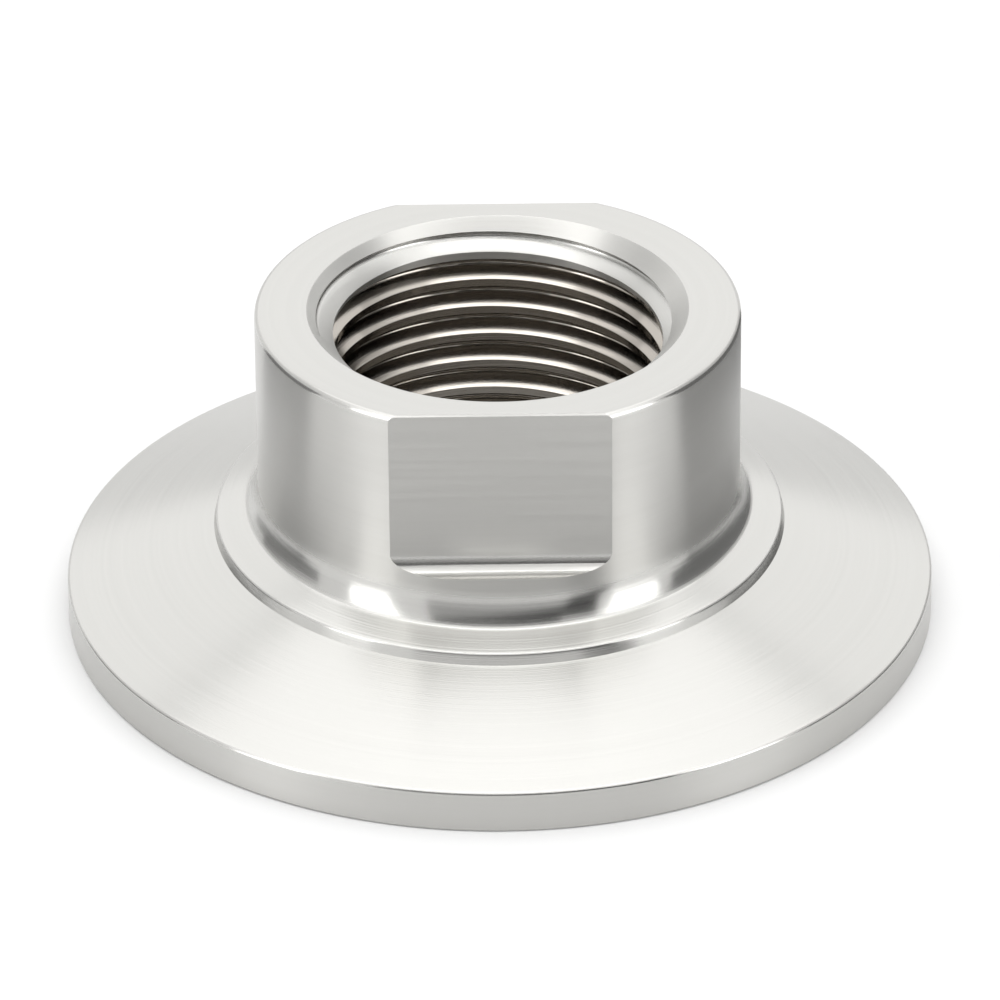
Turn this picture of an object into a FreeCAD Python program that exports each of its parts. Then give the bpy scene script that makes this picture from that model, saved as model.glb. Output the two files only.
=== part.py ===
import FreeCAD, Part
import math
import os
import Sketcher
from types import SimpleNamespace

# Sanitary clamp threaded adapter, turned from one bar and milled with two
# wrench flats. Millimetres and degrees. The origin is the centre of the
# sealing face, +Z runs up the axis and the flats face -Y and +Y.

NODE = "clamp_threaded_adapter"

DIMENSIONS = {
    # flange of a 1.5 inch clamp ferrule, with the clamp's slope on its back
    "flange_diameter": 50.5,
    "rim_height": 2.3,
    "rim_upper_break": 0.16,
    "rim_lower_break": 0.15,
    "flange_slope": 20,
    # groove for the gasket's bead, its middle set in from the rim
    "gasket_groove_inset": 3.5,
    "gasket_groove_width": 3.6,
    "gasket_groove_depth": 1.6,
    "gasket_groove_flank": 20,
    # raised ring round the foot of the hub, and its step up from the slope
    "ring_width": 2.62,
    "ring_step": 0.69,
    "ring_wall_lean": 20,
    "ring_edge_break": 0.25,
    # hub, with a hollow round at its foot that the ring's top cuts off
    "hub_diameter": 28,
    "hub_foot_round": 2,
    "hub_foot_rise": 1.2,
    "hub_edge_break": 0.4,
    "total_height": 19.6,
    # bore for a half inch parallel pipe thread, what is bored off the wall of
    # the pilot bore before it, its mouth and the break at its lower end
    "bore_diameter": 19,
    "boring_allowance": 0.5,
    "mouth_width": 1.5,
    "mouth_slope": 45,
    "bore_lower_break": 0.5,
    # right-hand thread of 55 degree form, 14 turns to the inch, that fades
    # out at its inner end
    "thread_pitch": 1.814,
    "thread_depth": 0.9775,
    "thread_flank_angle": 27.5,
    "thread_root_width": 0.302,
    "thread_full_turns": 7,
    "thread_fading_turns": 0.5,
    "thread_fade_depth": 1.1,
    # height above the top face where the thread's cutter comes in, and how
    # far its form reaches out of the wall into the open bore
    "cutter_entry": 0.42,
    "cutter_reach": 0.25,
    # two wrench flats with a round-nosed foot, and how far the cutter's nose
    # reaches past the hub and its body past the top
    "flat_depth": 1.5,
    "flat_height": 9.1,
    "flat_edge_break": 0.1,
    "nose_overhang": 0.38,
    "milling_overrun": 1,
}

size = SimpleNamespace(**DIMENSIONS)


def make_sheet(doc):
    """Write each driving dimension to a named cell."""
    sheet = doc.addObject("Spreadsheet::Sheet", "Dimensions")
    for row, (name, value) in enumerate(DIMENSIONS.items(), start=1):
        sheet.set(f"A{row}", name)
        sheet.set(f"B{row}", str(value))
        sheet.setAlias(f"B{row}", name)
    doc.recompute()


def bound(expression):
    """Turn the cell names in an expression into references to the sheet."""
    words = expression.split()
    return " ".join(f"Dimensions.{word}" if word in DIMENSIONS else word for word in words)


def origin_feature(body, role):
    """Find a body's own origin plane by its role."""
    return next(feature for feature in body.Origin.OriginFeatures if feature.Role == role)


class Outline:
    """A closed sketch whose edges follow one another, sized by the sheet."""

    POINTS = ("edge", "start", "end", "centre")

    def __init__(self, body, name, plane):
        self.sketch = body.newObject("Sketcher::SketchObject", name)
        self.sketch.AttachmentSupport = [(origin_feature(body, plane), "")]
        self.sketch.MapMode = "FlatFace"
        self.edges = {}

    def line(self, name, start, end):
        """Add a straight edge."""
        edge = Part.LineSegment(FreeCAD.Vector(*start), FreeCAD.Vector(*end))
        self.edges[name] = (self.sketch.addGeometry(edge), 1, 2)

    def arc(self, name, centre, radius, first_angle, last_angle):
        """Add a round edge that the outline follows from one angle to the other."""
        low, high = sorted((math.radians(first_angle), math.radians(last_angle)))
        circle = Part.Circle(FreeCAD.Vector(*centre), FreeCAD.Vector(0, 0, 1), radius)
        number = self.sketch.addGeometry(Part.ArcOfCircle(circle, low, high))
        ends = (1, 2) if first_angle < last_angle else (2, 1)
        self.edges[name] = (number, *ends)

    def join(self, smooth):
        """Join each edge to the next, without a corner after those named."""
        names = list(self.edges)
        for name, following in zip(names, names[1:] + names[:1]):
            edge, _, end = self.edges[name]
            other, start, _ = self.edges[following]
            kind = "Tangent" if name in smooth else "Coincident"
            self.sketch.addConstraint(Sketcher.Constraint(kind, edge, end, other, start))

    def level(self, *names):
        """Keep edges horizontal."""
        for name in names:
            self.sketch.addConstraint(Sketcher.Constraint("Horizontal", self.edges[name][0]))

    def upright(self, *names):
        """Keep edges vertical."""
        for name in names:
            self.sketch.addConstraint(Sketcher.Constraint("Vertical", self.edges[name][0]))

    def on_base(self, name, point):
        """Keep a point on the sketch's horizontal axis."""
        where = (self.edges[name][0], self.POINTS.index(point), -1)
        self.sketch.addConstraint(Sketcher.Constraint("PointOnObject", *where))

    def centred(self, name):
        """Keep a round edge's centre on the sketch's origin."""
        where = (self.edges[name][0], self.POINTS.index("centre"), -1, 1)
        self.sketch.addConstraint(Sketcher.Constraint("Coincident", *where))

    def bind(self, name, expression, *constraint):
        """Add a named dimension that follows the sheet."""
        index = self.sketch.addConstraint(Sketcher.Constraint(*constraint))
        self.sketch.renameConstraint(index, name)
        self.sketch.setExpression(f"Constraints.{name}", bound(expression))

    def across(self, name, point, expression):
        """Distance of a point from the sketch's vertical axis."""
        where = (self.edges[name][0], self.POINTS.index(point))
        value = self.sketch.getPoint(*where).x
        self.bind(f"{name}_{point}_across", expression, "DistanceX", -1, 1, *where, value)

    def height(self, name, point, expression):
        """Height of a point above the sketch's horizontal axis."""
        where = (self.edges[name][0], self.POINTS.index(point))
        value = self.sketch.getPoint(*where).y
        self.bind(f"{name}_{point}_height", expression, "DistanceY", -1, 1, *where, value)

    def rise(self, name, expression):
        """Height of an edge's far end above its near end."""
        number, start, end = self.edges[name]
        value = self.sketch.getPoint(number, end).y - self.sketch.getPoint(number, start).y
        self.bind(f"{name}_rise", expression, "DistanceY", number, start, number, end, value)

    def radius(self, name, expression):
        """Radius of a round edge."""
        number = self.edges[name][0]
        value = self.sketch.Geometry[number].Radius
        self.bind(f"{name}_radius", expression, "Radius", number, value)

    def angle(self, name, expression):
        """Direction of a straight edge."""
        number = self.edges[name][0]
        edge = self.sketch.Geometry[number]
        run = edge.EndPoint - edge.StartPoint
        self.bind(f"{name}_angle", expression, "Angle", number, math.atan2(run.y, run.x))


def turned_section(body):
    """Half section of the turned blank, radius across and height up."""
    rim = size.flange_diameter / 2
    slope = math.radians(size.flange_slope)
    slope_start = rim - size.rim_upper_break
    slope_foot = size.rim_height + size.rim_upper_break * math.tan(math.pi / 4 + slope / 2)
    groove = rim - size.gasket_groove_inset
    groove_inner = groove - size.gasket_groove_width / 2
    groove_outer = groove + size.gasket_groove_width / 2
    groove_lean = size.gasket_groove_depth * math.tan(math.radians(size.gasket_groove_flank))
    hub = size.hub_diameter / 2
    ring = hub + size.ring_width
    ring_foot = slope_foot + (slope_start - ring) * math.tan(slope)
    ring_top = ring_foot + size.ring_step
    wall_top = ring_top - size.ring_edge_break
    wall_top_radius = ring - (wall_top - ring_foot) * math.tan(math.radians(size.ring_wall_lean))
    ring_outer = wall_top_radius - size.ring_edge_break
    foot_top = ring_top + size.hub_foot_rise
    foot_centre = hub + size.hub_foot_round
    foot_angle = 180 + math.degrees(math.asin(size.hub_foot_rise / size.hub_foot_round))
    foot_end = foot_centre + size.hub_foot_round * math.cos(math.radians(foot_angle))
    top = size.total_height
    hub_inner = hub - size.hub_edge_break
    hub_top = top - size.hub_edge_break
    bore = size.bore_diameter / 2
    pilot = bore - size.boring_allowance
    mouth = bore + size.mouth_width
    mouth_foot = top - (mouth - pilot) * math.tan(math.radians(size.mouth_slope))
    seat_start = bore + size.bore_lower_break

    section = Outline(body, "TurnedSection", "XZ_Plane")
    section.line("inner_seat", (seat_start, 0), (groove_inner, 0))
    section.line("groove_inside", (groove_inner, 0),
                 (groove_inner + groove_lean, size.gasket_groove_depth))
    section.line("groove_bottom", (groove_inner + groove_lean, size.gasket_groove_depth),
                 (groove_outer - groove_lean, size.gasket_groove_depth))
    section.line("groove_outside", (groove_outer - groove_lean, size.gasket_groove_depth),
                 (groove_outer, 0))
    section.line("outer_seat", (groove_outer, 0), (rim - size.rim_lower_break, 0))
    section.line("rim_lower_break", (rim - size.rim_lower_break, 0), (rim, size.rim_lower_break))
    section.line("rim", (rim, size.rim_lower_break), (rim, size.rim_height))
    section.line("rim_upper_break", (rim, size.rim_height), (slope_start, slope_foot))
    section.line("slope", (slope_start, slope_foot), (ring, ring_foot))
    section.line("ring_wall", (ring, ring_foot), (wall_top_radius, wall_top))
    section.line("ring_edge", (wall_top_radius, wall_top), (ring_outer, ring_top))
    section.line("ring_top", (ring_outer, ring_top), (foot_end, ring_top))
    section.arc("hub_foot", (foot_centre, foot_top), size.hub_foot_round, foot_angle, 180)
    section.line("hub", (hub, foot_top), (hub, hub_top))
    section.line("hub_edge", (hub, hub_top), (hub_inner, top))
    section.line("top_face", (hub_inner, top), (mouth, top))
    section.line("mouth", (mouth, top), (pilot, mouth_foot))
    section.line("pilot_bore", (pilot, mouth_foot), (pilot, seat_start - pilot))
    section.line("bore_break", (pilot, seat_start - pilot), (seat_start, 0))

    section.join(smooth=("hub_foot",))
    section.on_base("inner_seat", "start")
    section.on_base("groove_inside", "start")
    section.on_base("groove_outside", "end")
    section.on_base("outer_seat", "end")
    section.level("groove_bottom", "ring_top", "top_face")
    section.upright("rim", "hub", "pilot_bore")

    groove_middle = "flange_diameter / 2 - gasket_groove_inset"
    section.across("inner_seat", "start", "bore_diameter / 2 + bore_lower_break")
    section.across("inner_seat", "end", f"{groove_middle} - gasket_groove_width / 2")
    section.angle("groove_inside", "90 - gasket_groove_flank")
    section.height("groove_bottom", "start", "gasket_groove_depth")
    section.angle("groove_outside", "gasket_groove_flank - 90")
    section.across("outer_seat", "start", f"{groove_middle} + gasket_groove_width / 2")
    section.across("outer_seat", "end", "flange_diameter / 2 - rim_lower_break")
    section.across("rim", "start", "flange_diameter / 2")
    section.height("rim", "start", "rim_lower_break")
    section.height("rim", "end", "rim_height")
    section.across("slope", "start", "flange_diameter / 2 - rim_upper_break")
    section.angle("rim_upper_break", "135 - flange_slope / 2")
    section.angle("slope", "180 - flange_slope")
    section.across("ring_wall", "start", "hub_diameter / 2 + ring_width")
    section.angle("ring_wall", "90 + ring_wall_lean")
    section.rise("ring_wall", "ring_step - ring_edge_break")
    section.angle("ring_edge", "135")
    section.rise("ring_edge", "ring_edge_break")
    section.radius("hub_foot", "hub_foot_round")
    section.rise("hub_foot", "hub_foot_rise")
    section.across("hub", "end", "hub_diameter / 2")
    section.height("hub", "end", "total_height - hub_edge_break")
    section.angle("hub_edge", "135")
    section.height("top_face", "start", "total_height")
    section.across("mouth", "start", "bore_diameter / 2 + mouth_width")
    section.angle("mouth", "mouth_slope - 180")
    section.across("pilot_bore", "start", "bore_diameter / 2 - boring_allowance")
    section.angle("bore_break", "0 - 45")
    return section.sketch


def bore_section(body):
    """Round of the bore, in a back half and a front half."""
    bore = size.bore_diameter / 2
    section = Outline(body, "BoreSection", "XY_Plane")
    section.arc("back_half", (0, 0), bore, 0, 180)
    section.arc("front_half", (0, 0), bore, 180, 360)

    section.join(smooth=())
    section.centred("back_half")
    section.radius("back_half", "bore_diameter / 2")
    section.on_base("back_half", "start")
    section.on_base("back_half", "end")
    section.on_base("front_half", "centre")
    return section.sketch


def flat_section(body):
    """What the mill takes off beyond the +Y flat, across the axis and up."""
    hub = size.hub_diameter / 2
    flat = hub - size.flat_depth
    outside = hub + size.nose_overhang
    nose_round = (outside - flat) / 2
    foot = size.total_height - size.flat_height
    break_foot = size.total_height - size.flat_edge_break
    tool_top = size.total_height + size.milling_overrun
    break_top = flat - (tool_top - break_foot)

    section = Outline(body, "FlatSection", "YZ_Plane")
    section.line("flat", (flat, foot), (flat, break_foot))
    section.line("edge_break", (flat, break_foot), (break_top, tool_top))
    section.line("tool_top", (break_top, tool_top), (outside, tool_top))
    section.line("tool_side", (outside, tool_top), (outside, foot))
    section.arc("nose", (outside - nose_round, foot), nose_round, 360, 180)

    section.join(smooth=("tool_side", "nose"))
    section.upright("flat", "tool_side")
    section.level("tool_top")
    section.across("flat", "start", "hub_diameter / 2 - flat_depth")
    section.height("flat", "end", "total_height - flat_edge_break")
    section.angle("edge_break", "135")
    section.height("tool_top", "start", "total_height + milling_overrun")
    section.across("tool_side", "start", "hub_diameter / 2 + nose_overhang")
    section.height("nose", "centre", "total_height - flat_height")
    return section.sketch


def thread_section(body, name, turns_down, turns_expression):
    """Section of the thread's groove, a given number of turns below its start."""
    root = size.bore_diameter / 2 + size.thread_depth
    inner = size.bore_diameter / 2 - size.cutter_reach
    flank = math.radians(size.thread_flank_angle)
    half_root = size.thread_root_width / 2
    half_mouth = half_root + (root - inner) * math.tan(flank)
    middle = size.total_height + size.cutter_entry - size.thread_pitch * turns_down
    level = f"total_height + cutter_entry - thread_pitch * {turns_expression}"

    section = Outline(body, name, "XZ_Plane")
    section.line("lower_flank", (inner, middle - half_mouth), (root, middle - half_root))
    section.line("root", (root, middle - half_root), (root, middle + half_root))
    section.line("upper_flank", (root, middle + half_root), (inner, middle + half_mouth))
    section.line("open_side", (inner, middle + half_mouth), (inner, middle - half_mouth))

    section.join(smooth=())
    section.upright("root", "open_side")
    section.angle("lower_flank", "thread_flank_angle")
    section.angle("upper_flank", "180 - thread_flank_angle")
    section.across("root", "start", "bore_diameter / 2 + thread_depth")
    section.height("root", "start", f"{level} - thread_root_width / 2")
    section.height("root", "end", f"{level} + thread_root_width / 2")
    section.across("open_side", "start", "bore_diameter / 2 - cutter_reach")
    return section.sketch


def turn_blank(body):
    """Turn the whole section round the axis."""
    section = turned_section(body)
    blank = body.newObject("PartDesign::Revolution", "TurnedBlank")
    blank.Profile = section
    blank.ReferenceAxis = (section, ["V_Axis"])
    blank.Angle = 360
    blank.Refine = False
    return blank


def bore_through(body):
    """Bore the pilot bore out to its size, right through."""
    bore = body.newObject("PartDesign::Pocket", "Bore")
    bore.Profile = bore_section(body)
    bore.Type = "ThroughAll"
    bore.Reversed = True
    bore.Refine = False
    return bore


def mill_flats(body):
    """Mill the +Y flat right across the hub and repeat it on the -Y side."""
    first = body.newObject("PartDesign::Pocket", "FirstFlat")
    first.Profile = flat_section(body)
    first.Type = "Length"
    first.SideType = "Symmetric"
    first.setExpression("Length", bound("hub_diameter"))
    first.Refine = False
    second = body.newObject("PartDesign::Mirrored", "SecondFlat")
    second.Originals = [first]
    second.MirrorPlane = (origin_feature(body, "XZ_Plane"), [""])
    second.Refine = False
    body.Tip = second
    return second


def cut_thread(body, name, section, turns):
    """Cut a right-hand helical groove that runs down the bore."""
    groove = body.newObject("PartDesign::SubtractiveHelix", name)
    groove.Profile = section
    groove.ReferenceAxis = (section, ["V_Axis"])
    groove.Mode = "height-turns-growth"
    groove.setExpression("Height", bound(f"thread_pitch * {turns}"))
    groove.setExpression("Turns", bound(turns))
    groove.Reversed = True
    groove.LeftHanded = False
    groove.Refine = False
    return groove


def cut_full_thread(body):
    """Full-depth turns, from above the mouth down."""
    section = thread_section(body, "ThreadSection", 0, "0")
    return cut_thread(body, "FullThread", section, "thread_full_turns")


def cut_fading_thread(body):
    """Last stretch of the groove, where it rises out of the bore's wall."""
    section = thread_section(body, "FadingSection", size.thread_full_turns, "thread_full_turns")
    groove = cut_thread(body, "FadingThread", section, "thread_fading_turns")
    groove.setExpression("Growth", bound("0 - thread_fade_depth / thread_fading_turns"))
    return groove


def build_adapter(doc):
    """Build the one turned piece, a step of its making at a time."""
    body = doc.addObject("PartDesign::Body", "Adapter")
    body.Label = NODE
    body.Placement = FreeCAD.Placement()
    doc.recompute()
    turn_blank(body)
    doc.recompute()
    volume = body.Shape.Volume
    for cut in (bore_through, mill_flats, cut_full_thread, cut_fading_thread):
        feature = cut(body)
        doc.recompute()
        if not body.Shape.Volume < volume:
            raise RuntimeError(f"{feature.Label} takes nothing off")
        volume = body.Shape.Volume
    return body


def check(doc, body):
    """Stop if any object failed or the piece isn't one sound solid."""
    for item in doc.Objects:
        if "Invalid" in item.State or "Error" in item.State:
            raise RuntimeError(f"{item.Label} failed")
    shape = body.Shape
    if shape.isNull() or not shape.isValid() or len(shape.Solids) != 1:
        raise RuntimeError(f"{body.Label} is not one sound solid")


doc = FreeCAD.newDocument("ThreadedClampAdapter")
make_sheet(doc)
adapter = build_adapter(doc)
check(doc, adapter)
os.makedirs("parts", exist_ok=True)
adapter.Shape.exportStep(f"parts/{adapter.Label}.step")
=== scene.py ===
"""Looks of the sanitary clamp threaded adapter: its turned and milled surface,
the finish of the steel, the studio and the camera."""

import math

import bpy
from mathutils import Matrix, Vector


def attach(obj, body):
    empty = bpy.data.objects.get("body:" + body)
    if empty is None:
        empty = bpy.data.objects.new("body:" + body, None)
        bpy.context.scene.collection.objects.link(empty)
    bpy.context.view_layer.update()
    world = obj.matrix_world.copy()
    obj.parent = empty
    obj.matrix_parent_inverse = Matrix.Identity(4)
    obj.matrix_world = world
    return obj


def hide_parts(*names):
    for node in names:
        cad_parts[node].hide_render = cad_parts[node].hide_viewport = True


# sizes of the adapter, in millimetres and degrees
FLANGE_DIAMETER = 50.5
RIM_UPPER_ROUND = 0.25
RIM_LOWER_ROUND = 0.15
FLANGE_SLOPE = 20
RIM_CORNER_HEIGHT = 2.47
GASKET_GROOVE_DIAMETER = 43.5
GASKET_GROOVE_WIDTH = 3.6
GASKET_GROOVE_DEPTH = 1.6
GASKET_GROOVE_FLANK = 20
GASKET_GROOVE_EDGE_ROUND = 0.15
GASKET_GROOVE_CORNER_ROUND = 0.4
RING_FOOT_DIAMETER = 33.24
RING_STEP = 0.64
RING_WALL_LEAN = 13
RING_EDGE_ROUND = 0.2
RING_TOP_SLOPE = 20
RING_FOOT_BLEND = 0.4
HUB_DIAMETER = 28
HUB_FOOT_ROUND = 3.2
HUB_FOOT_START = 8.9
HUB_EDGE_ROUND = 0.4
TOTAL_HEIGHT = 19.6
BORE_DIAMETER = 19
BORE_LOWER_BREAK = 0.5
MOUTH_DIAMETER = 22
MOUTH_EDGE_ROUND = 0.06
THREAD_PITCH = 1.814
THREAD_MAJOR_DIAMETER = 20.955
THREAD_ROOT_ROUND = 0.249
THREAD_HALF_ANGLE = 27.5
THREAD_CREST_BREAK = 0.05
THREAD_TURNS = 7.5
THREAD_FADE_TURNS = 0.5
THREAD_FADE_DEPTH = 1.1
THREAD_LOWER_END = 6.415
CUTTER_REACH = 0.25
FLAT_DISTANCE = 12.5
FLAT_HEIGHT = 9.1
FLAT_NOSE_ROUND = 0.94
FLAT_EDGE_BREAK = 0.1
MILLING_OVERRUN = 1
MILL_TRAVEL = 89.6

# fineness of the surface
COLUMNS = 288
THREAD_STEPS = 1200
ROUND_STEP = 12
SUPPORT = 0.12
SHARP_EDGE = 20
MERGE_DISTANCE = 0.0005

MILLIMETRE = 0.001

# finish of the steel, and painted shade in the bore, with lengths in millimetres
STEEL_LIGHT = (0.585, 0.58, 0.56, 1)
STEEL_DARK = (0.53, 0.525, 0.505, 1)
# darker, warmer colours for the bore and thread: painted shade in the recess
BORE_PAINTED_SHADE_LIGHT = (0.44, 0.415, 0.38, 1)
BORE_PAINTED_SHADE_DARK = (0.4, 0.37, 0.33, 1)
DRAWN_OUT = 0.88
WALL_ROUGHNESS = 0.34
ROUND_ROUGHNESS = 0.2
CHAMFER_ROUGHNESS = 0.4
LEVEL_ROUGHNESS = 0.18
BORE_ROUGHNESS_SHARE = 0.4
FINE_RING_SPACING = 0.08
COARSE_RING_SPACING = 0.3
COARSE_RING_HEIGHT = 1.5
MILL_LINE_SPACING = 0.2
MARK_HEIGHT = 0.02
MARK_STRENGTH = 0.2
FLAT_FACING = 0.995
FLAT_TOLERANCE = 0.02
# reach of the bore's smoother finish and of its painted shade
BORE_FINISH_AND_SHADE_RADIUS = 10.6
BORE_FINISH_AND_SHADE_TOP = 17.4
FOOT_FINISH_RADIUS = 16.4
FOOT_FINISH_TOP = 8.5

# studio, in metres
CARD_DISTANCE = 0.9
CARD_LIFT = 0.0005
CARD_COLUMNS = 16
CARD_ROWS = 12
EYE_HEIGHT = 0.012
FLOOR_REACH = 3.0
FLOOR_DROP = 0.00002
FLOOR_GREY = 0.75
FLOOR_GLOW = 0.02
WORLD_LIGHT = 0.8

# camera, in millimetres and degrees
CAMERA_ELEVATION = 30.4734
CAMERA_TURN = -0.4
CAMERA_ROLL = -0.4496
CAMERA_AIM = (0.0486, 0, 6.7051)
CAMERA_DISTANCE = 476.489
LENS_LENGTH = 294.55
SENSOR_WIDTH = 36


def on_circle(centre, radius, degrees):
    """Point of a circle at an angle."""
    angle = math.radians(degrees)
    return centre[0] + radius * math.cos(angle), centre[1] + radius * math.sin(angle)


def arc_points(centre, radius, first, last):
    """Points along an arc, from one angle to the other, both ends with them."""
    steps = max(2, math.ceil(abs(last - first) / ROUND_STEP))
    angles = [first + (last - first) * step / steps for step in range(steps + 1)]
    return [on_circle(centre, radius, angle) for angle in angles]


def rounded_corner(before, corner, after, radius):
    """Points that take a corner's place: its round, with a point just outside
    each end that keeps the flat run beside it flat."""
    here = Vector(corner)
    back = Vector(before) - here
    on = Vector(after) - here
    half = back.angle(on) / 2
    run = radius / math.tan(half)
    centre = here + (back.normalized() + on.normalized()).normalized() * radius / math.sin(half)
    start = here + back.normalized() * run
    end = here + on.normalized() * run
    first = math.degrees(math.atan2(*(start - centre).yx))
    turn = (math.degrees(math.atan2(*(end - centre).yx)) - first + 180) % 360 - 180
    points = arc_points(centre, radius, first, first + turn)
    if back.length > run + SUPPORT:
        points.insert(0, tuple(start + back.normalized() * SUPPORT))
    if on.length > run + SUPPORT:
        points.append(tuple(end + on.normalized() * SUPPORT))
    return points


def rounded_outline(corners):
    """Closed outline through corners given as across, height and round."""
    points = []
    for index, (across, height, radius) in enumerate(corners):
        before = corners[index - 1][:2]
        after = corners[(index + 1) % len(corners)][:2]
        if radius:
            points += rounded_corner(before, (across, height), after, radius)
        else:
            points.append((across, height))
    return points


def foot_end_angle(centre, ring_edge):
    """Angle at which the hub's hollow foot meets the ring's sloping top."""
    slope = math.radians(RING_TOP_SLOPE)
    across, height = centre[0] - ring_edge[0], centre[1] - ring_edge[1]
    drop = height * math.cos(slope) + across * math.sin(slope)
    return 270 - RING_TOP_SLOPE - math.degrees(math.acos(drop / HUB_FOOT_ROUND))


def turned_outline():
    """Half section of the turned blank, radius across and height up."""
    rim = FLANGE_DIAMETER / 2
    hub = HUB_DIAMETER / 2
    bore = BORE_DIAMETER / 2
    mouth = MOUTH_DIAMETER / 2
    groove_inner = GASKET_GROOVE_DIAMETER / 2 - GASKET_GROOVE_WIDTH / 2
    groove_outer = groove_inner + GASKET_GROOVE_WIDTH
    groove_lean = GASKET_GROOVE_DEPTH * math.tan(math.radians(GASKET_GROOVE_FLANK))
    ring = RING_FOOT_DIAMETER / 2
    ring_foot = RIM_CORNER_HEIGHT + (rim - ring) * math.tan(math.radians(FLANGE_SLOPE))
    ring_lean = RING_STEP * math.tan(math.radians(RING_WALL_LEAN))
    ring_edge = (ring - ring_lean, ring_foot + RING_STEP)
    foot_centre = (hub + HUB_FOOT_ROUND, HUB_FOOT_START)
    foot = arc_points(foot_centre, HUB_FOOT_ROUND, foot_end_angle(foot_centre, ring_edge), 180)

    corners = [
        (bore + BORE_LOWER_BREAK, 0, 0),
        (groove_inner, 0, GASKET_GROOVE_EDGE_ROUND),
        (groove_inner + groove_lean, GASKET_GROOVE_DEPTH, GASKET_GROOVE_CORNER_ROUND),
        (groove_outer - groove_lean, GASKET_GROOVE_DEPTH, GASKET_GROOVE_CORNER_ROUND),
        (groove_outer, 0, GASKET_GROOVE_EDGE_ROUND),
        (rim, 0, RIM_LOWER_ROUND),
        (rim, RIM_CORNER_HEIGHT, RIM_UPPER_ROUND),
        (ring, ring_foot, 0),
        (*ring_edge, RING_EDGE_ROUND),
        (*foot[0], RING_FOOT_BLEND),
        *[(*point, 0) for point in foot[1:]],
        (hub, foot_centre[1] + SUPPORT, 0),
        (hub, TOTAL_HEIGHT, HUB_EDGE_ROUND),
        (mouth, TOTAL_HEIGHT, MOUTH_EDGE_ROUND),
        (bore, TOTAL_HEIGHT - (mouth - bore), 0),
        (bore, BORE_LOWER_BREAK, 0),
    ]
    return rounded_outline(corners)


def flat_outline():
    """Section of the mill's path along a wrench flat."""
    foot = TOTAL_HEIGHT - FLAT_HEIGHT
    outside = FLAT_DISTANCE + 2 * FLAT_NOSE_ROUND
    break_foot = TOTAL_HEIGHT - FLAT_EDGE_BREAK
    tool_top = TOTAL_HEIGHT + MILLING_OVERRUN
    nose = arc_points((FLAT_DISTANCE + FLAT_NOSE_ROUND, foot), FLAT_NOSE_ROUND, 180, 360)
    return [
        (FLAT_DISTANCE, break_foot),
        (FLAT_DISTANCE, foot + SUPPORT),
        *nose,
        (outside, tool_top),
        (FLAT_DISTANCE - (tool_top - break_foot), tool_top),
    ]


def groove_outline():
    """Section of the thread's groove, with its rounded root, about its middle."""
    flank = math.radians(THREAD_HALF_ANGLE)
    root_centre = THREAD_MAJOR_DIAMETER / 2 - THREAD_ROOT_ROUND
    root_end = 90 - THREAD_HALF_ANGLE
    root = arc_points((root_centre, 0), THREAD_ROOT_ROUND, -root_end, root_end)
    tangent_radius, tangent_height = root[-1]
    break_start = BORE_DIAMETER / 2 + THREAD_CREST_BREAK
    break_half = tangent_height + (tangent_radius - break_start) * math.tan(flank)
    break_end = BORE_DIAMETER / 2 - THREAD_CREST_BREAK
    open_half = break_half + 2 * THREAD_CREST_BREAK
    inner = BORE_DIAMETER / 2 - CUTTER_REACH
    return [
        (inner, -open_half),
        (break_end, -open_half),
        (break_start, -break_half),
        *root,
        (break_start, break_half),
        (break_end, open_half),
        (inner, open_half),
    ]


def outline_object(name, outline):
    """Hold an outline's points, radius across and height up, in a mesh."""
    mesh = bpy.data.meshes.new(name)
    count = len(outline)
    edges = [(index, (index + 1) % count) for index in range(count)]
    mesh.from_pydata([(across, 0, height) for across, height in outline], edges, [])
    holder = bpy.data.objects.new(name, mesh)
    bpy.context.scene.collection.objects.link(holder)
    return holder


class Tree:
    """A node tree with its named inputs, joined in the script."""

    def __init__(self, name, kind, inputs, outputs):
        self.tree = bpy.data.node_groups.new(name, kind)
        for label, socket, value in inputs:
            made = self.tree.interface.new_socket(label, in_out="INPUT", socket_type=socket)
            if value is not None:
                made.default_value = value
        for label, socket in outputs:
            self.tree.interface.new_socket(label, in_out="OUTPUT", socket_type=socket)
        self.start = self.tree.nodes.new("NodeGroupInput")
        self.end = self.tree.nodes.new("NodeGroupOutput")

    def __getitem__(self, label):
        """One of the tree's own inputs."""
        return self.start.outputs[label]

    def node(self, kind, sockets=(), **settings):
        """Add a node, set it up and feed its inputs by name or number."""
        made = self.tree.nodes.new(kind)
        for name, value in settings.items():
            setattr(made, name, value)
        for key, value in dict(sockets).items():
            self.feed(made.inputs[key], value)
        return made

    def feed(self, socket, value):
        """Join a socket to an output, or give it a plain value."""
        if isinstance(value, bpy.types.NodeSocket):
            self.tree.links.new(value, socket)
        else:
            socket.default_value = value

    def math(self, operation, first, second=0.0):
        """Result of one sum."""
        made = self.node("ShaderNodeMath", {0: first, 1: second}, operation=operation)
        return made.outputs[0]

    def finish(self, **results):
        """Feed the tree's outputs."""
        for label, value in results.items():
            self.feed(self.end.inputs[label.replace("_", " ")], value)
        return self.tree


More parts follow.
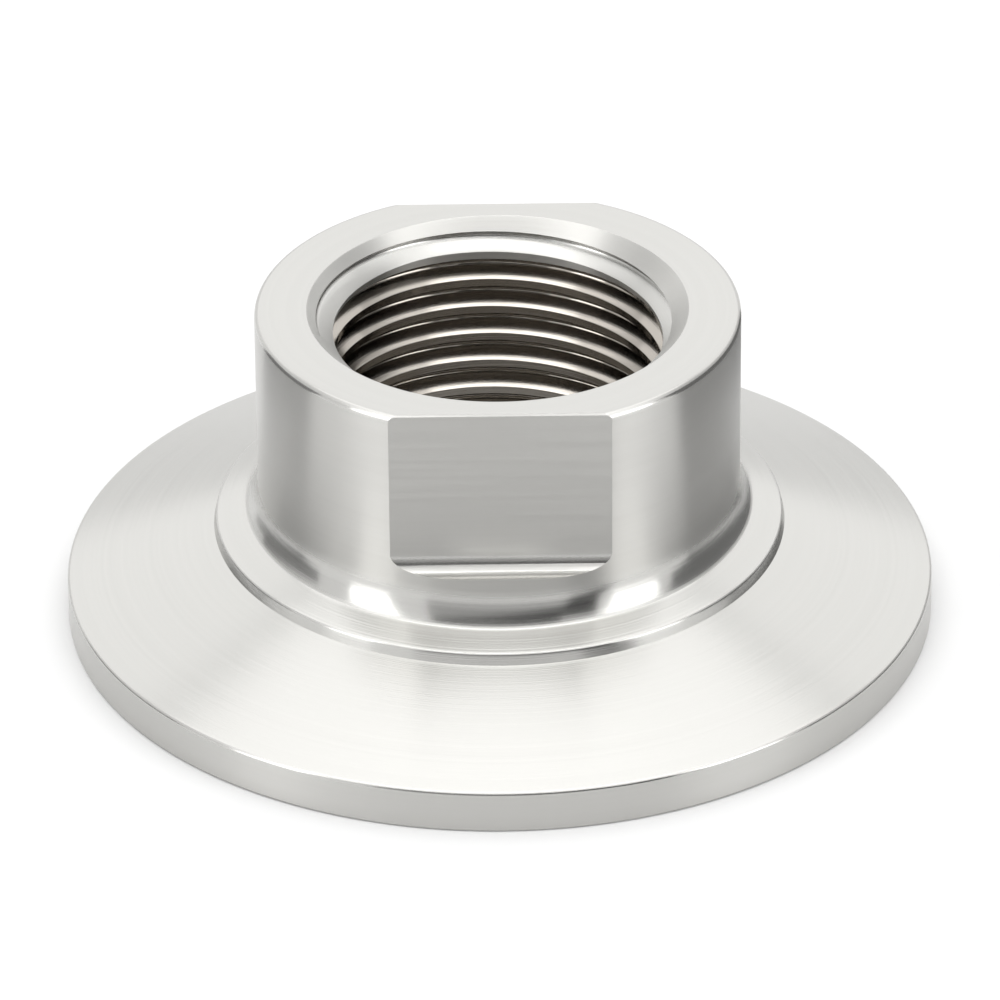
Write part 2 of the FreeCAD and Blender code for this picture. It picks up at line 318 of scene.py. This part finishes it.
def sweep_tree():
    """Carry a section round the axis, up a helix or along a straight cut."""
    sweep = Tree("Sweep section", "GeometryNodeTree", [
        ("Section", "NodeSocketGeometry", None),
        ("Steps", "NodeSocketInt", 100),
        ("Start Angle", "NodeSocketFloat", 0.0),
        ("Turns", "NodeSocketFloat", 1.0),
        ("Start Height", "NodeSocketFloat", 0.0),
        ("Pitch", "NodeSocketFloat", 0.0),
        ("Fade Turns", "NodeSocketFloat", 1.0),
        ("Fade Depth", "NodeSocketFloat", 0.0),
        ("Travel", "NodeSocketFloat", 0.0),
        ("Closed Ends", "NodeSocketFloat", 0.0),
    ], [("Surface", "NodeSocketGeometry")])
    size = sweep.node("GeometryNodeAttributeDomainSize", {"Geometry": sweep["Section"]})
    count = size.outputs["Point Count"]
    rows = sweep.math("ADD", count, 1.0)
    columns = sweep.math("ADD", sweep["Steps"], 1.0)
    grid = sweep.node("GeometryNodeMeshGrid", {"Vertices X": columns, "Vertices Y": rows})

    index = sweep.node("GeometryNodeInputIndex").outputs[0]
    step = sweep.math("FLOOR", sweep.math("DIVIDE", sweep.math("ADD", index, 0.5), rows))
    row = sweep.math("SUBTRACT", index, sweep.math("MULTIPLY", step, rows))
    place = sweep.math("MODULO", row, count)
    from_end = sweep.math("MINIMUM", step, sweep.math("SUBTRACT", sweep["Steps"], step))
    tip = sweep.math("MULTIPLY", sweep["Closed Ends"], sweep.math("LESS_THAN", from_end, 0.5))
    place = sweep.math("MULTIPLY", place, sweep.math("SUBTRACT", 1.0, tip))
    position = sweep.node("GeometryNodeInputPosition").outputs[0]
    sample = sweep.node("GeometryNodeSampleIndex", data_type="FLOAT_VECTOR", domain="POINT")
    sweep.feed(sample.inputs["Geometry"], sweep["Section"])
    sweep.feed(sample.inputs["Value"], position)
    sweep.feed(sample.inputs["Index"], sweep.math("ROUND", place))
    section = sweep.node("ShaderNodeSeparateXYZ", {0: sample.outputs["Value"]}).outputs

    share = sweep.math("DIVIDE", step, sweep["Steps"])
    turned = sweep.math("MULTIPLY", share, sweep["Turns"])
    angle = sweep.math("ADD", sweep["Start Angle"], sweep.math("MULTIPLY", turned, math.tau))
    faded = sweep.math("SUBTRACT", 1.0, sweep.math("DIVIDE", turned, sweep["Fade Turns"]))
    sunk = sweep.math("MULTIPLY", sweep.math("MAXIMUM", faded, 0.0), sweep["Fade Depth"])
    radius = sweep.math("SUBTRACT", section["X"], sunk)
    rise = sweep.math("ADD", sweep["Start Height"], sweep.math("MULTIPLY", turned, sweep["Pitch"]))
    travel = sweep.math("MULTIPLY", sweep.math("SUBTRACT", share, 0.5), sweep["Travel"])
    along = sweep.math("ADD", sweep.math("MULTIPLY", radius, sweep.math("COSINE", angle)), travel)
    place = sweep.node("ShaderNodeCombineXYZ", {
        "X": along,
        "Y": sweep.math("MULTIPLY", radius, sweep.math("SINE", angle)),
        "Z": sweep.math("ADD", section["Z"], rise),
    }).outputs[0]
    placed = sweep.node("GeometryNodeSetPosition", {
        "Geometry": grid.outputs["Mesh"],
        "Position": place,
    })
    merged = sweep.node("GeometryNodeMergeByDistance", {
        "Geometry": placed.outputs[0],
        "Distance": MERGE_DISTANCE,
    })
    return sweep.finish(Surface=merged.outputs[0])


def adapter_tree(sweep):
    """Turned blank, less the mill's two straight cuts and the thread's groove."""
    tree = Tree("Threaded adapter", "GeometryNodeTree", [
        ("Turned Section", "NodeSocketGeometry", None),
        ("Flat Section", "NodeSocketObject", None),
        ("Groove Section", "NodeSocketObject", None),
        ("Columns", "NodeSocketInt", COLUMNS),
        ("Thread Steps", "NodeSocketInt", THREAD_STEPS),
        ("Thread Pitch", "NodeSocketFloat", THREAD_PITCH),
        ("Thread Turns", "NodeSocketFloat", THREAD_TURNS),
        ("Thread Lower End", "NodeSocketFloat", THREAD_LOWER_END),
        ("Fade Turns", "NodeSocketFloat", THREAD_FADE_TURNS),
        ("Fade Depth", "NodeSocketFloat", THREAD_FADE_DEPTH),
        ("Mill Travel", "NodeSocketFloat", MILL_TRAVEL),
        ("Sharp Edge", "NodeSocketFloat", math.radians(SHARP_EDGE)),
        ("Scale", "NodeSocketFloat", MILLIMETRE),
        ("Finish", "NodeSocketMaterial", None),
    ], [("Adapter", "NodeSocketGeometry")])

    def swept(section, **sockets):
        """One use of the sweep, with its sizes."""
        made = tree.node("GeometryNodeGroup", node_tree=sweep)
        tree.feed(made.inputs["Section"], section)
        for label, value in sockets.items():
            tree.feed(made.inputs[label.replace("_", " ")], value)
        return made.outputs[0]

    def section_of(label):
        """Outline that an input's object holds."""
        return tree.node("GeometryNodeObjectInfo", {"Object": tree[label]}).outputs["Geometry"]

    flat = section_of("Flat Section")
    groove = section_of("Groove Section")
    blank = swept(tree["Turned Section"], Steps=tree["Columns"])
    cuts = []
    for side in (-1, 1):
        cuts.append(swept(
            flat,
            Steps=3,
            Start_Angle=-side * math.pi / 2,
            Turns=0.0,
            Travel=tree.math("MULTIPLY", tree["Mill Travel"], side),
            Closed_Ends=1.0,
        ))
    cuts.append(swept(
        groove,
        Steps=tree["Thread Steps"],
        Start_Angle=math.pi,
        Turns=tree["Thread Turns"],
        Start_Height=tree["Thread Lower End"],
        Pitch=tree["Thread Pitch"],
        Fade_Turns=tree["Fade Turns"],
        Fade_Depth=tree["Fade Depth"],
        Closed_Ends=1.0,
    ))
    cut = tree.node("GeometryNodeMeshBoolean", operation="DIFFERENCE", solver="MANIFOLD")
    tree.feed(cut.inputs["Mesh 1"], blank)
    for tool in cuts:
        tree.feed(cut.inputs["Mesh 2"], tool)
    angle = tree.node("GeometryNodeInputMeshEdgeAngle").outputs["Unsigned Angle"]
    sharp = tree.math("GREATER_THAN", angle, tree["Sharp Edge"])
    smooth = tree.node("GeometryNodeSetShadeSmooth", {
        "Geometry": cut.outputs["Mesh"],
        "Shade Smooth": True,
    })
    crisp = tree.node("GeometryNodeSetShadeSmooth", domain="EDGE")
    tree.feed(crisp.inputs["Geometry"], smooth.outputs[0])
    tree.feed(crisp.inputs["Selection"], sharp)
    tree.feed(crisp.inputs["Shade Smooth"], False)
    scale = tree.node("ShaderNodeCombineXYZ", {axis: tree["Scale"] for axis in "XYZ"}).outputs[0]
    sized = tree.node("GeometryNodeTransform", {"Geometry": crisp.outputs[0], "Scale": scale})
    real = tree.node("GeometryNodeRealizeInstances", {"Geometry": sized.outputs[0]})
    done = tree.node("GeometryNodeSetMaterial", {
        "Geometry": real.outputs[0],
        "Material": tree["Finish"],
    })
    return tree.finish(Adapter=done.outputs[0])


def turned_adapter(finish):
    """The adapter's whole surface, as one plain mesh in metres."""
    adapter = outline_object("turned_adapter", turned_outline())
    sections = {
        "Flat Section": outline_object("flat_section", flat_outline()),
        "Groove Section": outline_object("groove_section", groove_outline()),
    }
    tree = adapter_tree(sweep_tree())
    turning = adapter.modifiers.new("Turning", "NODES")
    turning.node_group = tree
    values = {
        **sections,
        "Columns": COLUMNS,
        "Thread Steps": THREAD_STEPS,
        "Thread Pitch": THREAD_PITCH,
        "Thread Turns": THREAD_TURNS,
        "Thread Lower End": THREAD_LOWER_END,
        "Fade Turns": THREAD_FADE_TURNS,
        "Fade Depth": THREAD_FADE_DEPTH,
        "Mill Travel": MILL_TRAVEL,
        "Sharp Edge": math.radians(SHARP_EDGE),
        "Scale": MILLIMETRE,
        "Finish": finish,
    }
    for item in tree.interface.items_tree:
        if item.in_out == "INPUT" and item.name in values:
            turning[item.identifier] = values[item.name]
    depsgraph = bpy.context.evaluated_depsgraph_get()
    turned = adapter.evaluated_get(depsgraph)
    mesh = bpy.data.meshes.new_from_object(turned, depsgraph=depsgraph)
    adapter.modifiers.remove(turning)
    adapter.data = mesh
    for section in sections.values():
        bpy.data.objects.remove(section)
    return adapter


def rings_group():
    """Fine rings that a cutting tool leaves round the axis, as height and tone."""
    rings = Tree("Tool rings", "ShaderNodeTree", [
        ("Position", "NodeSocketVector", None),
        ("Spacing", "NodeSocketFloat", FINE_RING_SPACING),
        ("Waver", "NodeSocketFloat", 0.15),
    ], [("Height", "NodeSocketFloat"), ("Tone", "NodeSocketFloat")])
    axes = rings.node("ShaderNodeSeparateXYZ", {0: rings["Position"]}).outputs
    across = rings.node("ShaderNodeCombineXYZ", {"X": axes["X"], "Y": axes["Y"]}).outputs[0]
    radius = rings.node("ShaderNodeVectorMath", {0: across}, operation="LENGTH").outputs["Value"]
    turn = rings.node("ShaderNodeVectorMath", {0: across}, operation="NORMALIZE").outputs[0]
    spacing = rings.math("MULTIPLY", rings["Spacing"], MILLIMETRE)
    ring = rings.node("ShaderNodeCombineXYZ", {
        "X": rings.math("DIVIDE", radius, spacing),
        "Y": rings.math("DIVIDE", axes["Z"], spacing),
    }).outputs[0]
    waver = rings.node("ShaderNodeVectorMath", {0: turn}, operation="SCALE")
    rings.feed(waver.inputs["Scale"], rings["Waver"])
    swung = rings.node("ShaderNodeVectorMath", {0: ring, 1: waver.outputs[0]}, operation="ADD")
    swung = swung.outputs[0]
    marks = rings.node("ShaderNodeTexNoise", {"Vector": swung, "Scale": 1.0, "Detail": 2.0})
    tone = rings.node("ShaderNodeTexNoise", {"Vector": swung, "Scale": 0.35, "Detail": 3.0})
    return rings.finish(Height=marks.outputs[0], Tone=tone.outputs[0])


def mill_lines_group():
    """Straight fine lines that the mill leaves along a flat, as height and tone."""
    lines = Tree("Mill lines", "ShaderNodeTree", [
        ("Position", "NodeSocketVector", None),
        ("Spacing", "NodeSocketFloat", MILL_LINE_SPACING),
        ("Length", "NodeSocketFloat", 40.0),
    ], [("Height", "NodeSocketFloat"), ("Tone", "NodeSocketFloat")])
    axes = lines.node("ShaderNodeSeparateXYZ", {0: lines["Position"]}).outputs
    spacing = lines.math("MULTIPLY", lines["Spacing"], MILLIMETRE)
    drawn = lines.node("ShaderNodeCombineXYZ", {
        "X": lines.math("DIVIDE", axes["X"], lines.math("MULTIPLY", spacing, lines["Length"])),
        "Y": lines.math("DIVIDE", axes["Z"], spacing),
    }).outputs[0]
    marks = lines.node("ShaderNodeTexNoise", {"Vector": drawn, "Scale": 1.0, "Detail": 2.0})
    tone = lines.node("ShaderNodeTexNoise", {"Vector": drawn, "Scale": 0.6, "Detail": 3.0})
    return lines.finish(Height=marks.outputs[0], Tone=tone.outputs[0])


def places_group():
    """Where the wrench flats, the bore and the hub's foot are, as masks."""
    places = Tree("Worked places", "ShaderNodeTree", [
        ("Position", "NodeSocketVector", None),
        ("Normal", "NodeSocketVector", None),
        ("Flat Distance", "NodeSocketFloat", FLAT_DISTANCE),
        ("Bore Radius", "NodeSocketFloat", BORE_FINISH_AND_SHADE_RADIUS),
        ("Bore Top", "NodeSocketFloat", BORE_FINISH_AND_SHADE_TOP),
        ("Foot Height", "NodeSocketFloat", FOOT_FINISH_TOP),
        ("Foot Radius", "NodeSocketFloat", FOOT_FINISH_RADIUS),
    ], [("Flat", "NodeSocketFloat"), ("Bore", "NodeSocketFloat"), ("Foot", "NodeSocketFloat")])
    axes = places.node("ShaderNodeSeparateXYZ", {0: places["Position"]}).outputs
    facing = places.node("ShaderNodeSeparateXYZ", {0: places["Normal"]}).outputs

    def in_metres(label):
        """An input's length, in metres."""
        return places.math("MULTIPLY", places[label], MILLIMETRE)

    square = places.math("GREATER_THAN", places.math("ABSOLUTE", facing["Y"]), FLAT_FACING)
    off = places.math("SUBTRACT", places.math("ABSOLUTE", axes["Y"]), in_metres("Flat Distance"))
    near = places.math("LESS_THAN", places.math("ABSOLUTE", off), FLAT_TOLERANCE * MILLIMETRE)
    across = places.node("ShaderNodeCombineXYZ", {"X": axes["X"], "Y": axes["Y"]}).outputs[0]
    radius = places.node("ShaderNodeVectorMath", {0: across}, operation="LENGTH").outputs["Value"]
    within = places.math("LESS_THAN", radius, in_metres("Bore Radius"))
    under = places.math("LESS_THAN", axes["Z"], in_metres("Bore Top"))
    low = places.math("LESS_THAN", axes["Z"], in_metres("Foot Height"))
    inner = places.math("LESS_THAN", radius, in_metres("Foot Radius"))
    outside = places.math("SUBTRACT", 1.0, within)
    return places.finish(
        Flat=places.math("MULTIPLY", square, near),
        # the bore mask lowers the roughness and also carries the bore's painted shade
        Bore=places.math("MULTIPLY", within, under),
        Foot=places.math("MULTIPLY", places.math("MULTIPLY", low, inner), outside),
    )


def steel_material():
    """Turned stainless steel: satin, drawn out across the tool's rings."""
    steel = bpy.data.materials.new("turned_stainless_steel")
    steel.use_nodes = True
    nodes, links = steel.node_tree.nodes, steel.node_tree.links
    shader = nodes["Principled BSDF"]
    shader.inputs["Metallic"].default_value = 1.0
    shader.inputs["Anisotropic"].default_value = DRAWN_OUT
    shader.inputs["Anisotropic Rotation"].default_value = 0.25

    def feed(socket, value):
        """Join a socket to an output, or give it a plain value."""
        if isinstance(value, bpy.types.NodeSocket):
            links.new(value, socket)
        else:
            socket.default_value = value

    def joined(kind, sockets, **settings):
        """Add a node, with its settings, values and links."""
        made = nodes.new(kind)
        for name, value in settings.items():
            setattr(made, name, value)
        for key, value in sockets.items():
            feed(made.inputs[key], value)
        return made.outputs

    def product(first, second):
        """One value times another."""
        return joined("ShaderNodeMath", {0: first, 1: second}, operation="MULTIPLY")[0]

    def ramp(value, start, end, low, high):
        """Value that runs from low to high as another runs from start to end."""
        return joined("ShaderNodeMapRange", {
            "Value": value,
            "From Min": start,
            "From Max": end,
            "To Min": low,
            "To Max": high,
        })[0]

    def blend(share, first, second, kind="FLOAT"):
        """Mix of two values or colours."""
        mixed = nodes.new("ShaderNodeMix")
        mixed.data_type = kind
        ends = {"FLOAT": (2, 3), "RGBA": (6, 7)}[kind]
        for number, value in zip((0, *ends), (share, first, second)):
            feed(mixed.inputs[number], value)
        return mixed.outputs[{"FLOAT": 0, "RGBA": 2}[kind]]

    def effect(group, **sockets):
        """One use of a shared effect, on the adapter's own coordinates."""
        return joined("ShaderNodeGroup", {"Position": where["Object"], **sockets}, node_tree=group)

    where = joined("ShaderNodeTexCoord", {})
    tool_rings = rings_group()
    rings = effect(tool_rings, Spacing=FINE_RING_SPACING)
    coarse = effect(tool_rings, Spacing=COARSE_RING_SPACING)
    lines = effect(mill_lines_group())
    places = effect(places_group(), Normal=where["Normal"])

    tone = blend(places["Flat"], blend(0.5, rings["Tone"], coarse["Tone"]), lines["Tone"])
    # inside the bore the colours turn darker and warmer: painted shade in the thread's recess
    light = blend(places["Bore"], STEEL_LIGHT, BORE_PAINTED_SHADE_LIGHT, "RGBA")
    dark = blend(places["Bore"], STEEL_DARK, BORE_PAINTED_SHADE_DARK, "RGBA")
    links.new(blend(tone, dark, light, "RGBA"), shader.inputs["Base Color"])

    facing = joined("ShaderNodeSeparateXYZ", {0: where["Normal"]})
    level = joined("ShaderNodeMath", {0: facing["Z"]}, operation="ABSOLUTE")[0]
    rough = ramp(level, 0.05, 0.2, WALL_ROUGHNESS, ROUND_ROUGHNESS)
    rough = ramp(level, 0.55, 0.66, rough, CHAMFER_ROUGHNESS)
    rough = ramp(level, 0.8, 0.9, rough, LEVEL_ROUGHNESS)
    worn = ramp(tone, 0.3, 0.7, 0.9, 1.1)
    worn = product(worn, blend(places["Bore"], 1.0, BORE_ROUGHNESS_SHARE))
    links.new(product(rough, worn), shader.inputs["Roughness"])

    fine = blend(places["Flat"], rings["Height"], lines["Height"])
    height = joined("ShaderNodeMath", {
        0: product(places["Foot"], coarse["Height"]),
        1: COARSE_RING_HEIGHT,
        2: fine,
    }, operation="MULTIPLY_ADD")[0]
    bump = joined("ShaderNodeBump", {
        "Height": height,
        "Strength": MARK_STRENGTH,
        "Distance": MARK_HEIGHT * MILLIMETRE,
    })
    links.new(bump[0], shader.inputs["Normal"])
    tangent = joined("ShaderNodeTangent", {}, direction_type="RADIAL", axis="Z")
    links.new(tangent[0], shader.inputs["Tangent"])
    return steel


def background_rays(tree):
    """Share of a ray that shows the background: seen, mirrored or refracted."""
    rays = tree.nodes.new("ShaderNodeLightPath")
    share = rays.outputs["Is Camera Ray"]
    for kind in ("Is Glossy Ray", "Is Transmission Ray"):
        either = tree.nodes.new("ShaderNodeMath")
        either.operation = "MAXIMUM"
        tree.links.new(share, either.inputs[0])
        tree.links.new(rays.outputs[kind], either.inputs[1])
        share = either.outputs[0]
    return share


def staged_mesh(name, points, faces, material):
    """Part of the studio, which isn't part of the adapter."""
    mesh = bpy.data.meshes.new(name)
    mesh.from_pydata(points, [], faces)
    mesh.materials.append(material)
    staged = bpy.data.objects.new(name, mesh)
    bpy.context.scene.collection.objects.link(staged)
    return staged


def plain_paper(name, colour, glow=0.0):
    """Matt paper, which glows a little where it is the background."""
    paper = bpy.data.materials.new(name)
    paper.use_nodes = True
    tree = paper.node_tree
    shader = tree.nodes["Principled BSDF"]
    shader.inputs["Base Color"].default_value = (colour, colour, colour, 1)
    shader.inputs["Roughness"].default_value = 1.0
    shader.inputs["Specular IOR Level"].default_value = 0.0
    shader.inputs["Emission Color"].default_value = (1, 1, 1, 1)
    if glow:
        strength = tree.nodes.new("ShaderNodeMath")
        strength.operation = "MULTIPLY"
        strength.inputs[1].default_value = glow
        tree.links.new(background_rays(tree), strength.inputs[0])
        tree.links.new(strength.outputs[0], shader.inputs["Emission Strength"])
    return paper


def make_floor():
    """Pale floor that keeps a faint shadow."""
    sides = ((-1, -1), (1, -1), (1, 1), (-1, 1))
    corners = [(x * FLOOR_REACH, y * FLOOR_REACH, -FLOOR_DROP) for x, y in sides]
    paper = plain_paper("floor_paper", FLOOR_GREY, FLOOR_GLOW)
    staged_mesh("floor", corners, [(0, 1, 2, 3)], paper)


def make_world():
    """White all round as background, and a little less as light."""
    world = bpy.data.worlds.new("studio")
    bpy.context.scene.world = world
    world.use_nodes = True
    tree = world.node_tree
    surround = tree.nodes["Background"]
    surround.inputs["Color"].default_value = (1, 1, 1, 1)
    strength = tree.nodes.new("ShaderNodeMapRange")
    strength.inputs["To Min"].default_value = WORLD_LIGHT
    strength.inputs["To Max"].default_value = 1.0
    tree.links.new(background_rays(tree), strength.inputs["Value"])
    tree.links.new(strength.outputs[0], surround.inputs["Strength"])


def direction(azimuth, elevation):
    """Unit vector towards an azimuth and elevation, in degrees."""
    turn, lift = math.radians(azimuth), math.radians(elevation)
    level = math.cos(lift)
    return Vector((level * math.cos(turn), level * math.sin(turn), math.sin(lift)))


def card_spot(turn, lift):
    """Place in a direction from the hub: on the table, or upright beyond it."""
    if lift < 0:
        reach = min(EYE_HEIGHT / math.tan(math.radians(-lift)), CARD_DISTANCE)
        spot = direction(turn, 0) * reach
        return spot.x, spot.y, CARD_LIFT
    spot = direction(turn, lift) * CARD_DISTANCE
    return spot.x, spot.y, spot.z + CARD_LIFT


def make_card(name, first, last, lower, upper, shade):
    """Card that only the steel sees, between two azimuths. Its lower and upper
    edges are elevations from the hub, each at the first and the last azimuth."""
    points = []
    for column in range(CARD_COLUMNS + 1):
        share = column / CARD_COLUMNS
        turn = first + (last - first) * share
        low = lower[0] + (lower[1] - lower[0]) * share
        high = upper[0] + (upper[1] - upper[0]) * share
        for row in range(CARD_ROWS):
            points.append(card_spot(turn, low + (high - low) * row / (CARD_ROWS - 1)))
    faces = []
    for column in range(CARD_COLUMNS):
        for row in range(CARD_ROWS - 1):
            here = column * CARD_ROWS + row
            faces.append((here, here + 1, here + CARD_ROWS + 1, here + CARD_ROWS))
    paper = plain_paper(name + "_paper", 0.0)
    paper.node_tree.nodes["Principled BSDF"].inputs["Emission Strength"].default_value = shade
    card = staged_mesh(name, points, faces, paper)
    card.visible_camera = False
    card.visible_diffuse = False
    card.visible_shadow = False


def soft_box(name, azimuth, elevation, distance, width, height, radiance):
    """Soft rectangular lamp that faces the adapter."""
    lamp = bpy.data.lights.new(name, "AREA")
    lamp.shape = "RECTANGLE"
    lamp.size = width
    lamp.size_y = height
    lamp.energy = radiance * math.pi * width * height
    box = bpy.data.objects.new(name, lamp)
    towards = direction(azimuth, elevation)
    box.location = towards * distance
    box.rotation_mode = "QUATERNION"
    box.rotation_quaternion = towards.to_track_quat("Z", "Y")
    bpy.context.scene.collection.objects.link(box)


def make_lamps():
    """Two upright soft boxes beside the camera, three above and behind."""
    soft_box("left_box", -149, 22, 0.75, 0.25, 0.58, 2.3)
    soft_box("right_box", -29, 22, 0.75, 0.3, 0.58, 1.8)
    soft_box("overhead_box", 90, 84, 1.1, 1.7, 1.1, 0.75)
    soft_box("front_box", -90, 75, 1.0, 1.1, 0.46, 1.8)
    soft_box("back_box", 90, 35, 1.3, 3.2, 0.9, 0.38)


def make_cards():
    """Dark and grey cards round the table, for the steel's darker bands."""
    make_card("front_low_card", -122, -62, (-6, -6), (30, 10), 0.5)
    make_card("front_card", -122, -62, (30, 10), (43, 43), 0.03)
    make_card("gap_card", -62, -47, (-10, -22), (32, 32), 0.03)
    make_card("right_card", -10, 54, (-18, -18), (36, 10), 0.2)
    make_card("left_card", -214, -176, (-16, -16), (10, 18), 0.25)


def make_camera():
    """Camera where the photograph was taken from."""
    elevation = math.radians(CAMERA_ELEVATION)
    roll = math.radians(CAMERA_ROLL)
    turn = Matrix.Rotation(math.radians(CAMERA_TURN), 3, "Z")
    aim = turn @ Vector(CAMERA_AIM)
    back = turn @ Vector((0, -math.cos(elevation), math.sin(elevation)))
    level = turn @ Vector((1, 0, 0))
    upright = back.cross(level)
    right = level * math.cos(roll) + upright * math.sin(roll)
    up = upright * math.cos(roll) - level * math.sin(roll)
    place = (aim + back * CAMERA_DISTANCE) * MILLIMETRE
    lens = bpy.data.cameras.new("camera")
    lens.sensor_width = SENSOR_WIDTH
    lens.lens = LENS_LENGTH
    lens.clip_start = 0.05
    lens.clip_end = 20
    camera = bpy.data.objects.new("camera", lens)
    axes = Matrix((right, up, back)).transposed()
    camera.matrix_world = Matrix.Translation(place) @ axes.to_4x4()
    bpy.context.scene.collection.objects.link(camera)
    bpy.context.scene.camera = camera


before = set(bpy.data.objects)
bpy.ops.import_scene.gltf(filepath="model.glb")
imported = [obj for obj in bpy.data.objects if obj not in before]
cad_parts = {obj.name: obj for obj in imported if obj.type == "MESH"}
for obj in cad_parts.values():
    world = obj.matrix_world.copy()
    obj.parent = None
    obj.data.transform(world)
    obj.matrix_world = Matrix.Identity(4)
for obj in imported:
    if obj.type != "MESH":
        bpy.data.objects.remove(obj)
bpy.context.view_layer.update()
adapter = turned_adapter(steel_material())
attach(adapter, "root")
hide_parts("clamp_threaded_adapter")
make_floor()
make_world()
make_lamps()
make_cards()
make_camera()
bpy.context.scene.view_settings.view_transform = "Standard"
